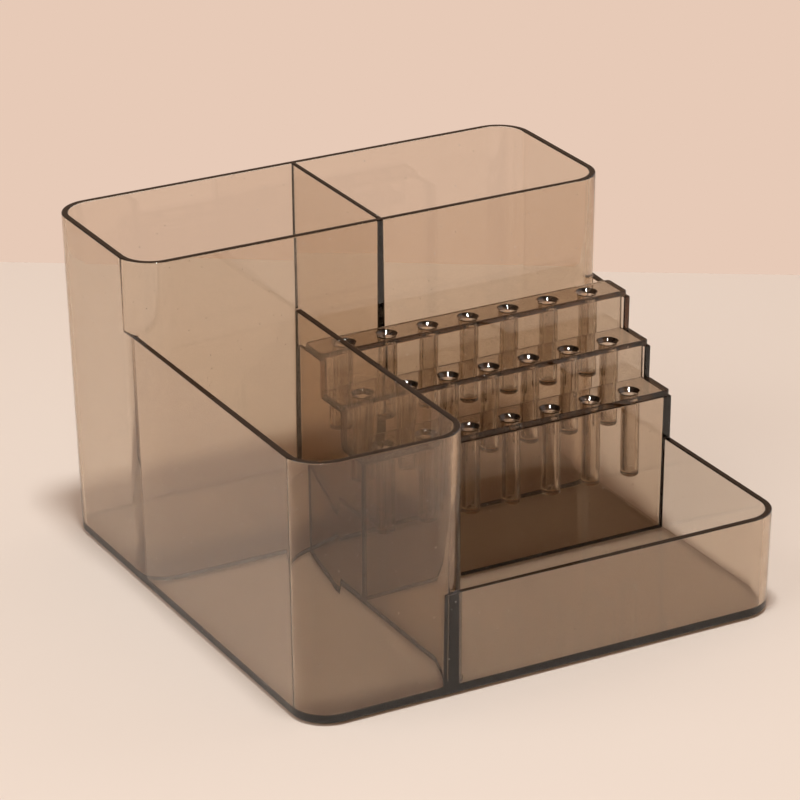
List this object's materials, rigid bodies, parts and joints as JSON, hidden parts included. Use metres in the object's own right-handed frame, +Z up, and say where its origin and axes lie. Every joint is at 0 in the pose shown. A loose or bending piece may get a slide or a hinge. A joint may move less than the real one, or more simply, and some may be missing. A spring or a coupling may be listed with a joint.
{
  "type": "nail drill holder",
  "caption": "Clear smoke plastic desk organiser with tall bins, a cup, a low tray and a lift-out stepped rack of bit sockets",
  "frame": {"origin": "middle of the bounding box, on the underside", "axes": "+X to the right, -Y to the front with the low tray, +Z up"},
  "size_m": [0.155, 0.159, 0.1002],
  "materials": {
    "smoke_body": "clear smoke-brown injection-moulded plastic, polished",
    "smoke_rack": "clear smoke-brown injection-moulded plastic, polished"
  },
  "bodies": {
    "organiser": {"organiser_body": "smoke_body"},
    "rack": {"bit_rack": "smoke_rack"}
  },
  "joints": [
    {"name": "rack_lift", "type": "slide", "parent": "organiser", "child": "rack", "axis": [0, 0, 1], "range_m": [0, 0.085]}
  ]
}
